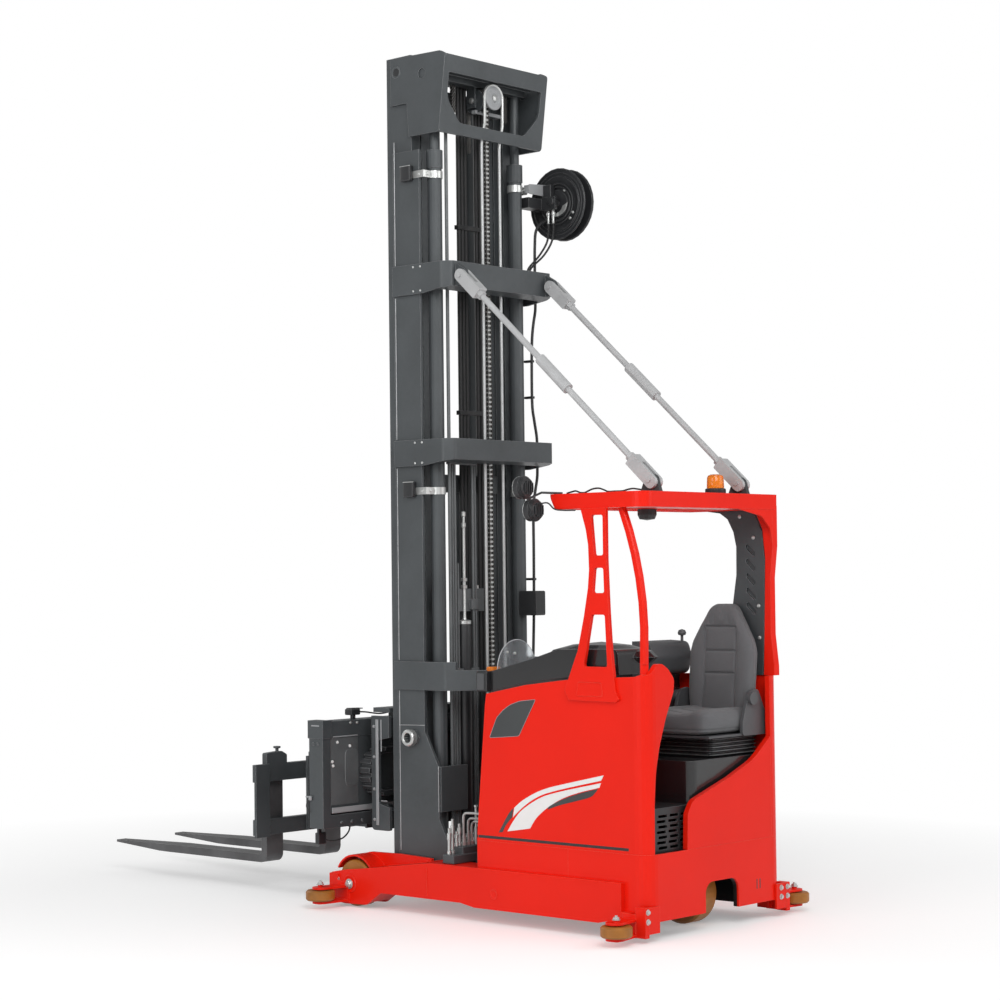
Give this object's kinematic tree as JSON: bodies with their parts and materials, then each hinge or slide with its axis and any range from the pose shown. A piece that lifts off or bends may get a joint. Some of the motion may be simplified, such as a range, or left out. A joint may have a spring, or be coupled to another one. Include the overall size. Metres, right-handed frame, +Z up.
{
  "type": "turret truck",
  "caption": "Man-down narrow-aisle stacker: red cab with overhead guard, braced triplex mast, traversing fork turret and low leg wheels.",
  "frame": {"origin": "floor level, at the middle of the overall length from the rear guide rollers to the fork tips, on the truck's centreline", "axes": "+X forward towards the fork tips, +Y to the left, the way the seated driver faces, +Z up"},
  "size_m": [4.424, 1.678, 4.742],
  "materials": {
    "body_red": "gloss red paint",
    "mast_grey": "satin dark grey paint",
    "black_plastic": "fine-grained black moulding",
    "grey_plastic": "grey moulding and powder coat",
    "polyurethane": "amber polyurethane",
    "steel": "zinc-plated steel",
    "fork_steel": "dark grey, worn to steel at the tips",
    "seat_fabric": "grey woven cloth",
    "rubber": "black rubber",
    "amber_lens": "clear amber",
    "clear_plastic": "clear sheet",
    "battery_case": "black coated steel"
  },
  "bodies": {
    "truck": {"battery_block": "battery_case", "battery_bulkhead": "black_plastic", "beacon": "amber_lens", "cab_floor": "black_plastic", "chassis_frame": "body_red", "control_box": "black_plastic", "control_console": "grey_plastic", "dome_lamp": "black_plastic", "drive_bay": "body_red", "guard_pillar_left": "body_red", "guard_pillar_right": "mast_grey", "guard_pillar_slim": "body_red", "guard_roof": "body_red", "hood_shield": "clear_plastic", "hose_reel": "black_plastic", "lift_cylinder_left": "mast_grey", "lift_cylinder_right": "mast_grey", "mast_head_frame": "mast_grey", "mast_pipes": "steel", "mast_rail_left": "mast_grey", "mast_rail_right": "mast_grey", "mast_tie_lower": "mast_grey", "mast_tie_middle": "mast_grey", "mast_tie_upper": "mast_grey", "outrigger_left": "body_red", "outrigger_right": "body_red", "rear_cover": "body_red", "seat_backrest": "seat_fabric", "seat_cushion": "seat_fabric", "seat_frame": "grey_plastic", "seat_pedestal": "black_plastic", "seat_suspension": "rubber", "sensor_box": "black_plastic", "side_panel_left": "body_red", "side_panel_right": "body_red", "stay_left": "steel", "stay_right": "steel", "top_cover": "black_plastic", "valve_block": "grey_plastic", "work_lights": "black_plastic"},
    "load_wheel_left": {"load_wheel_left": "polyurethane"},
    "load_wheel_right": {"load_wheel_right": "polyurethane"},
    "guide_roller_front_left": {"guide_roller_front_left": "polyurethane"},
    "guide_roller_front_right": {"guide_roller_front_right": "polyurethane"},
    "guide_roller_rear_left": {"guide_roller_rear_left": "polyurethane"},
    "guide_roller_rear_right": {"guide_roller_rear_right": "polyurethane"},
    "steering": {"drive_yoke": "mast_grey"},
    "drive_wheel": {"drive_wheel": "polyurethane"},
    "middle_mast": {"mast_middle": "mast_grey", "mast_chain": "steel", "mast_hoses": "rubber"},
    "inner_mast": {"mast_inner": "mast_grey"},
    "carriage": {"lift_carriage": "mast_grey", "traverse_frame": "mast_grey", "energy_chain": "black_plastic"},
    "slider": {"traverse_slider": "mast_grey"},
    "turret": {"fork_carriage": "mast_grey", "fork_left": "fork_steel", "fork_right": "fork_steel"}
  },
  "joints": [
    {"name": "load_wheel_left_spin", "type": "hinge", "parent": "truck", "child": "load_wheel_left", "pos_m": [-0.1, 0.523, 0.128], "axis": [0, 1, 0], "continuous": true},
    {"name": "load_wheel_right_spin", "type": "hinge", "parent": "truck", "child": "load_wheel_right", "pos_m": [-0.1, -0.523, 0.128], "axis": [0, 1, 0], "continuous": true},
    {"name": "guide_roller_front_left_spin", "type": "hinge", "parent": "truck", "child": "guide_roller_front_left", "pos_m": [-0.021, 0.759, 0.076], "axis": [0, 0, 1], "continuous": true},
    {"name": "guide_roller_front_right_spin", "type": "hinge", "parent": "truck", "child": "guide_roller_front_right", "pos_m": [-0.021, -0.759, 0.076], "axis": [0, 0, 1], "continuous": true},
    {"name": "guide_roller_rear_left_spin", "type": "hinge", "parent": "truck", "child": "guide_roller_rear_left", "pos_m": [-2.132, 0.759, 0.076], "axis": [0, 0, 1], "continuous": true},
    {"name": "guide_roller_rear_right_spin", "type": "hinge", "parent": "truck", "child": "guide_roller_rear_right", "pos_m": [-2.132, -0.759, 0.076], "axis": [0, 0, 1], "continuous": true},
    {"name": "drive_steer", "type": "hinge", "parent": "truck", "child": "steering", "pos_m": [-1.918, -0.075, 0.385], "axis": [0, 0, 1], "range_deg": [-90, 90]},
    {"name": "drive_wheel_spin", "type": "hinge", "parent": "steering", "child": "drive_wheel", "pos_m": [-1.918, -0.075, 0.17], "axis": [0, 1, 0], "continuous": true},
    {"name": "middle_mast_lift", "type": "slide", "parent": "truck", "child": "middle_mast", "axis": [0, 0, 1], "range_m": [0, 3.4]},
    {"name": "inner_mast_lift", "type": "slide", "parent": "middle_mast", "child": "inner_mast", "axis": [0, 0, 1], "range_m": [0, 3.4]},
    {"name": "carriage_lift", "type": "slide", "parent": "inner_mast", "child": "carriage", "axis": [0, 0, 1], "range_m": [0, 3.2]},
    {"name": "head_traverse", "type": "slide", "parent": "carriage", "child": "slider", "axis": [0, 1, 0], "range_m": [-0.58, 0.38]},
    {"name": "turret_turn", "type": "hinge", "parent": "slider", "child": "turret", "pos_m": [0.617, 0.1, 0.455], "axis": [0, 0, 1], "range_deg": [-90, 90]}
  ],
  "couplings": [
    {"joint": "inner_mast_lift", "follows": "middle_mast_lift", "ratio": 1}
  ]
}
